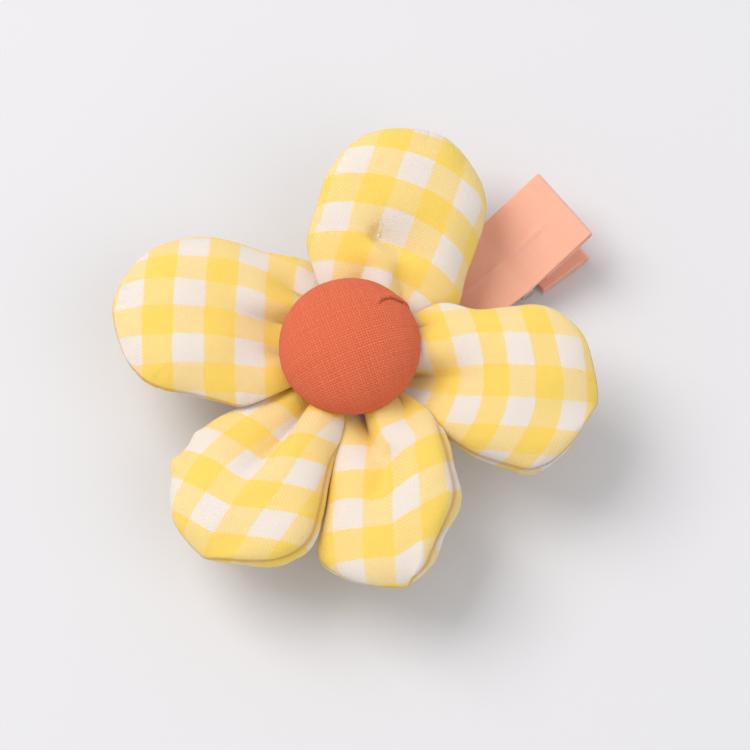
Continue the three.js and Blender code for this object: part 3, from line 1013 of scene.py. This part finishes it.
    def laid(self, flower: Matrix, plane: float) -> Matrix:
        """Gives the way from the petal's own frame, in millimetres, to its place in the flower."""
        return (
            flower
            @ Matrix.Translation((0, 0, plane))
            @ Matrix.Rotation(math.radians(self.direction), 4, "Z")
            @ Matrix.Rotation(-math.radians(self.lift), 4, "Y")
            @ Matrix.Rotation(math.radians(self.roll), 4, "X")
            @ Matrix.Scale(MM, 4)
        )

    def build(self, flower: Matrix, plane: float, material: Material) -> None:
        """Makes the petal and lays it in the flower.

        Args:
            flower: The flower's frame.
            plane: The height of the petals' middle in it.
            material: The gingham.
        """
        bm, flat, made, held = self.sewn()
        seam = {v.index for v in bm.verts if v.co.z == 0}
        # The seam line and the bottoms of the front creases are marked for painted shade.
        sewn = bm.verts.layers.float.new("seam")
        for vert in bm.verts:
            x, y, _ = made[vert.index]
            folds = [fold.shade(x, y) for fold in self.creases] if vert.co.z > 0 else []
            vert[sewn] = max([float(vert.index in seam), *folds])
        self.check_map(bm, flat)
        for vert in bm.verts:
            vert.co = made[vert.index]
        self.filled(bm, flat, held)
        self.worked(bm, seam)
        self.pressed(bm)
        bmesh.ops.transform(bm, matrix=self.laid(flower, plane), verts=bm.verts)
        nodes = tuple(f"petal_{self.name}_{layer}" for layer in ("front", "back", "filling"))
        piece = finished(f"petal_{self.name}", bm, material, "upper_clip", nodes)
        finer = piece.modifiers.new("finer", "SUBSURF")
        finer.levels = 1
        finer.render_levels = 1


@dataclass
class Stitch:
    """A knot of sewing thread that draws a dent into a petal, with a short loose end.

    Lengths are in millimetres, in the petal's own frame.
    """

    height: float = 4.0
    radius: float = 0.26
    longer: float = 1.3
    uneven: float = 0.35
    tail: float = 1.6
    tail_radii: tuple[float, float] = (0.16, 0.1)
    tail_tilt: float = math.radians(86)

    def build(self, petal: Petal, flower: Matrix, plane: float) -> None:
        """Makes the knot and its loose end.

        Args:
            petal: The petal it is sewn into.
            flower: The flower's frame.
            plane: The height of the petals' middle in it.
        """
        bm = bmesh.new()
        bmesh.ops.create_uvsphere(bm, u_segments=20, v_segments=14, radius=self.radius)
        for vert in bm.verts:
            vert.co *= 1 + self.uneven * noise.noise(vert.co * 4)
            vert.co.x *= self.longer
        thick, thin = self.tail_radii
        end = bmesh.ops.create_cone(
            bm, cap_ends=True, segments=12, radius1=thick, radius2=thin, depth=self.tail
        )
        tilted = Matrix.Rotation(self.tail_tilt, 4, "Y")
        laid_down = Matrix.Translation((0.55 * self.tail, thin, thin)) @ tilted
        bmesh.ops.transform(bm, matrix=laid_down, verts=end["verts"])
        dent = petal.dents[0]
        spot = Matrix.Translation((dent.out, dent.aside, self.height))
        bmesh.ops.transform(bm, matrix=petal.laid(flower, plane) @ spot, verts=bm.verts)
        finished("petal_top_stitch", bm, THREAD.material(), "upper_clip")


@dataclass
class CoveredButton:
    """The button's coral cloth, drawn over the metal shell and tucked under its rim."""

    radius: float = 9.5 * MM
    dome: float = 6.4 * MM
    rim: float = 1.3 * MM
    cloth: float = 0.4 * MM
    tuck: float = 1.5 * MM
    fullness: float = 0.92
    rim_turn: float = 0.5 * MM
    rim_steps: int = 4
    segments: int = 280
    rings: int = 80
    grain: float = math.radians(18)
    tuck_line: tuple[tuple[float, float], ...] = ((5.0, 0.5), (6.6, 1.0), (7.9, 0.85), (9.0, -0.35))

    def profile(self) -> list[Vector]:
        """Follows the cloth's outer face from the top of the dome to the tuck."""
        points = []
        for i in range(self.rings + 1):
            angle = math.pi / 2 * i / self.rings
            bulge = math.sin(angle) * self.radius
            points.append(Vector((bulge, 0, self.rim + self.dome * math.cos(angle) ** self.fullness)))
        turn = self.rim_turn
        for i in range(1, self.rim_steps + 1):
            angle = math.pi / 2 * i / self.rim_steps
            inner = self.radius - turn * (1 - math.cos(angle))
            points.append(Vector((inner, 0, turn + (self.rim - turn) * (1 - math.sin(angle)))))
        points.append(Vector((self.radius - self.tuck * 0.6, 0, 0.15 * MM)))
        points.append(Vector((self.radius - self.tuck, 0, 0.1 * MM)))
        return points

    def tucked(self, bm: Shape) -> None:
        """Works a tuck into the dome, where the slack of the cloth has folded over, and marks painted shade
        along its line.
        """
        lip, lip_reach = 0.32, 0.8
        deep, groove_width, shade_line_width = 0.22, 0.2, 0.13
        lump, lumps_per_metre = 0.05, 260
        bm.normal_update()
        shade = bm.verts.layers.float.new("seam")
        for vert in bm.verts:
            flat = vert.co.to_2d() / MM
            spots = []
            for i, (a, b) in enumerate(zip(self.tuck_line, self.tuck_line[1:])):
                start, end = Vector(a), Vector(b)
                share = min(1.0, max(0.0, (flat - start).dot(end - start) / (end - start).length_squared))
                off = flat - start.lerp(end, share)
                side = math.copysign(off.length, (end - start).cross(off))
                spots.append((off.length, side, (i + share) / (len(self.tuck_line) - 1)))
            gap, side, share = min(spots)
            fade = smooth(share, 0.0, 0.35)
            raised = lip * math.exp(-((side / lip_reach) ** 2)) if side > 0 else 0.0
            groove = deep * math.exp(-((gap / groove_width) ** 2))
            uneven = lump * noise.noise(vert.co * lumps_per_metre)
            vert[shade] = fade * math.exp(-((gap / shade_line_width) ** 2))
            vert.co += vert.normal * (fade * (raised - groove) + uneven) * MM

    def build(self, flower: Matrix, foot: float) -> None:
        """Spins the dome, works in its tuck and lays it in the flower.

        Args:
            flower: The flower's frame.
            foot: The height of the rim's lower edge in it.
        """
        points = self.profile()
        runs = run_lengths(points)
        bm = bmesh.new()
        run_of = bm.verts.layers.float.new("run")
        verts = [bmesh.ops.create_vert(bm, co=point)["vert"][0] for point in points]
        for vert, run in zip(verts, runs):
            vert[run_of] = run
        edges = [bm.edges.new(pair) for pair in zip(verts, verts[1:])]
        bmesh.ops.spin(
            bm, geom=verts + edges, cent=(0, 0, 0), axis=(0, 0, 1), angle=2 * math.pi, steps=self.segments,
            use_merge=True,
        )
        bmesh.ops.remove_doubles(bm, verts=bm.verts, dist=1e-7)
        bmesh.ops.recalc_face_normals(bm, faces=bm.faces)
        if max(bm.faces, key=lambda f: f.calc_center_median().z).normal.z < 0:
            bmesh.ops.reverse_faces(bm, faces=bm.faces)
        cut = bm.loops.layers.uv.new("cut")
        for face in bm.faces:
            for loop in face.loops:
                spot = loop.vert.co
                run = loop.vert[run_of]
                angle = math.atan2(spot.y, spot.x) + self.grain
                loop[cut].uv = (run * math.cos(angle), run * math.sin(angle))
        self.tucked(bm)
        bmesh.ops.transform(bm, matrix=flower @ Matrix.Translation((0, 0, foot)), verts=bm.verts)
        piece = finished("button_cover", bm, CORAL.material(), "upper_clip", ("button_cloth",))
        wall = piece.modifiers.new("thickness", "SOLIDIFY")
        wall.thickness = self.cloth
        wall.offset = -1.0


# ---- The whole clip ----

PETALS = (
    Petal(
        "top", 32.7, 33.8, 24, right=43.7, left=38.5, seed=1,
        check_turn=1, check_shift=(-1.1, -2.6), check_bow=(0.022, 0.018),
        creases=(
            Crease((16.4, 1.6), (16.4, -7.0), 1.9, 1.0, bow=-0.5, step=-0.9),
            Crease((8.0, -4.8), (15.0, -1.0), 2.1, 0.8, step=0.6),
            Crease((8.0, 2.6), (14.0, 2.2), 1.3, 0.9),
        ),
        dents=(Dent(16.5, 1.9, 1.0, 0.9),),
    ),
    Petal(
        "left", 125.5, 33.3, 25.4, right=54.3, left=41.5, seed=2,
        check_turn=-13, check_shift=(3.2, 3.1), check_bow=(0.004, 0.004), check_fan=0.25,
        creases=(
            Crease((8.0, -2.6), (18.0, -0.8), 2.1, 0.9, bow=0.5, step=-0.9),
            Crease((8.5, -6.0), (13.5, -7.6), 1.2, 0.9),
            Crease((8.0, 3.0), (12.5, 3.6), 1.0, 0.8),
        ),
        corners=(Corner(26.0, 1, 1.2, 4.5),),
        seam_rise=(0.0, 0.4),
    ),
    Petal(
        "lower_left", 197.8, 35.0, 24.6, right=30.8, left=25, seed=3,
        check_turn=2, check_shift=(4.1, -1.2), check_bow=(0.0, 0.0), check_skew=(0.0, 0.45),
        creases=(
            Crease((7.5, -1.0), (26.0, -1.6), 3.3, 1.0, bow=0.5, step=1.3),
            Crease((7.5, -4.2), (13.5, -6.4), 1.0, 0.8),
        ),
        corners=(Corner(25.5, -1, 0.8, 1.1), Corner(20.5, -1, 0.5, 1.1), Corner(28.0, 1, 1.0)),
        seam_rise=(0.3, 1.8),
    ),
    Petal(
        "bottom", 244.8, 34.3, 22, right=22, left=34.2, seed=4,
        check_turn=13, check_shift=(2.0, -1.7), check_bow=(0.0, 0.0), check_skew=(0.0, 0.5),
        creases=(
            Crease((7.0, -0.4), (18.5, 0.4), 3.3, 0.8, step=1.4),
            Crease((16.5, 1.4), (26.0, -4.2), 1.5, 1.5, bow=0.5, step=-0.5),
            Crease((7.5, 5.0), (13.0, 6.2), 1.0, 0.8),
        ),
        corners=(Corner(27.0, -1, 1.0), Corner(31.0, 1, -3.2, 4.5)),
        seam_rise=(0.8, 2.2),
    ),
    Petal(
        "right", 308, 34.2, 24.2, right=29, left=41, seed=5,
        check_turn=-15, check_shift=(-2.0, 4.65), check_bow=(0.05, 0.024),
        check_pitch=1.15, check_slope=0.17,
        creases=(
            Crease((7.5, -0.8), (19.0, -0.4), 3.3, 1.3, bow=0.4, step=1.3),
            Crease((7.8, 5.4), (12.5, 7.0), 1.0, 0.8),
        ),
        corners=(Corner(15.0, 1, -1.6), Corner(27.0, 1, 0.8), Corner(29.0, -1, 1.6)),
        seam_rise=(1.9, 0.6),
    ),
)


@dataclass
class Clip:
    """The ribbon-lined alligator clip."""

    sheet: float = 0.5 * MM
    ribbon_gap: float = 0.1 * MM
    ribbon: float = 0.35 * MM
    over_spring: float = 0.3 * MM
    after_hinge: float = 2.5 * MM

    def build(self) -> None:
        """Makes the metal parts and the two ribbons."""
        ClipMetal().build()
        material = SALMON.material()
        pin = Vector(frame["record"]["behaviour"]["joints"][0]["pos_m"])
        low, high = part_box("upper_ribbon")
        outer = self.ribbon_gap + self.ribbon + self.sheet / 2
        rise = ClipMetal.lever_rise
        over_pin = ClipMetal.bore + ClipMetal.wire + self.over_spring + self.sheet / 2
        bend = Vector((pin.x, 0, pin.z + over_pin))
        end_x = high.x - outer
        end = Vector((end_x, 0, bend.z + (end_x - bend.x) * math.tan(rise)))
        front = arm_middle(low.x, bend)
        line = [front, bend.lerp(front, 0.06), bend, bend.lerp(end, 0.15), end]
        behind = pin.x + self.after_hinge
        LeverRibbon("upper_ribbon_cloth", "upper_ribbon", "upper_clip", line, behind).build(material)
        low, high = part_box("lower_ribbon")
        level = (low.z + high.z) / 2
        line = [Vector((behind, 0, level)), Vector((high.x - outer, 0, level))]
        LeverRibbon("lower_ribbon_cloth", "lower_ribbon", "lower_clip", line, behind).build(material)


def arm_middle(x: float, bend: Vector) -> Vector:
    """Gives the upper arm's middle line at x, on its slope from the jaw tip up to the hinge."""
    axis = FlowerPlace().matrix().col[0].to_3d()
    return bend + axis * (x - bend.x) / axis.x


@dataclass
class Studio:
    """The pale floor, the soft light and the camera."""

    floor_half: float = 6.0
    floor_drop: float = 0.05 * MM
    floor_colour: str = "#e0e0e3"
    sky_colour: str = "#f4f5fa"
    sky_strength: float = 0.62
    azimuth: float = -38.5
    elevation: float = 69
    aim_right: float = 3.37 * MM
    aim_down: float = 4.7 * MM
    distance: float = 0.498
    lens: float = 180

    def build(self) -> None:
        """Makes the floor, the sky, the camera and the lamps."""
        self.floor()
        world = bpy.context.scene.world or bpy.data.worlds.new("studio")
        bpy.context.scene.world = world
        world.use_nodes = True
        sky = world.node_tree.nodes["Background"]
        sky.inputs["Color"].default_value = linear(self.sky_colour)
        sky.inputs["Strength"].default_value = self.sky_strength
        bpy.context.scene.view_settings.view_transform = "Standard"
        axes = camera_axes(self.azimuth, self.elevation)
        self.camera(*axes)
        self.lamp("key", axes, (-0.5, 0.55, 0.68), size=0.65, power=6.6, colour="#fffaf4")
        self.lamp("fill", axes, (0.6, -0.1, 0.8), size=0.8, power=1.7, colour="#ffffff")

    def floor(self) -> None:
        """Lays the floor just under the clip."""
        bm = bmesh.new()
        bmesh.ops.create_grid(bm, x_segments=1, y_segments=1, size=self.floor_half)
        bmesh.ops.translate(bm, verts=bm.verts, vec=(0, 0, -self.floor_drop))
        mesh = bpy.data.meshes.new("floor")
        bm.to_mesh(mesh)
        bm.free()
        floor = linked("floor", mesh)
        pale = bpy.data.materials.new("floor_pale")
        pale.use_nodes = True
        shader = pale.node_tree.nodes["Principled BSDF"]
        shader.inputs["Base Color"].default_value = linear(self.floor_colour)
        shader.inputs["Roughness"].default_value = 0.9
        mesh.materials.append(pale)

    def camera(self, right: Vector, up: Vector, back: Vector) -> None:
        """Sets up the camera, aimed a little beside and below the button's middle.

        Args:
            right: The view's right.
            up: The view's up.
            back: The way from the object to the camera.
        """
        target = centre("button_cloth") + right * self.aim_right - up * self.aim_down
        camera = linked("camera", bpy.data.cameras.new("camera"))
        camera.data.lens = self.lens
        camera.data.sensor_width = 36
        camera.data.clip_start = 0.01
        turned = Matrix((right, up, back)).transposed().to_4x4()
        camera.matrix_world = Matrix.Translation(target + back * self.distance) @ turned
        bpy.context.scene.camera = camera

    def lamp(
        self, name: str, axes: tuple[Vector, Vector, Vector], way: tuple[float, float, float],
        size: float, power: float, colour: str,
    ) -> None:
        """Hangs a soft square lamp that faces the clip.

        Args:
            name: The lamp's name.
            axes: The view's right, up and back directions.
            way: The lamp's place along them, in metres.
            size: Its side.
            power: Its power in watts.
            colour: Its colour.
        """
        lamp = bpy.data.lights.new(name, "AREA")
        lamp.size = size
        lamp.energy = power
        lamp.color = linear(colour)[:3]
        holder = linked(name, lamp)
        place = sum((axis * share for axis, share in zip(axes, way)), Vector((0, 0, 0)))
        facing = place.to_track_quat("Z", "Y").to_matrix().to_4x4()
        holder.matrix_world = Matrix.Translation(place) @ facing


def camera_axes(azimuth: float, elevation: float) -> tuple[Vector, Vector, Vector]:
    """Gives the view's right, up and back directions.

    Args:
        azimuth: Degrees; 0 looks along +Y.
        elevation: Degrees above the horizon.

    Returns:
        Three unit vectors.
    """
    a, e = math.radians(azimuth), math.radians(elevation)
    right = Vector((math.cos(a), math.sin(a), 0))
    back = Vector((math.sin(a) * math.cos(e), -math.cos(a) * math.cos(e), math.sin(e)))
    return right, back.cross(right), back


def main() -> None:
    """Builds the studio and the hair clip."""
    logging.basicConfig(level=logging.INFO, format="%(name)s: %(message)s")
    Studio().build()
    Clip().build()
    place = FlowerPlace()
    flower = place.matrix()
    FeltBacking().build(flower)
    gingham = GINGHAM.material()
    for petal in PETALS:
        petal.build(flower, place.petal_plane, gingham)
    Stitch().build(PETALS[0], flower, place.petal_plane)
    foot = (flower.inverted() @ centre("button_back")).z
    CoveredButton().build(flower, foot)
    metal = ALUMINIUM.material()
    for node in ("button_shell", "button_back"):
        dress(node, metal)
    dress("gather_thread", THREAD.material())


def dress(node: str, material: Material) -> None:
    """Gives a CAD node that stays in the model its material."""
    for slot in frame["nodes"][node].material_slots:
        slot.material = material
    LOG.info("%s: dressed", node)


if __name__ == "__main__":
    main()
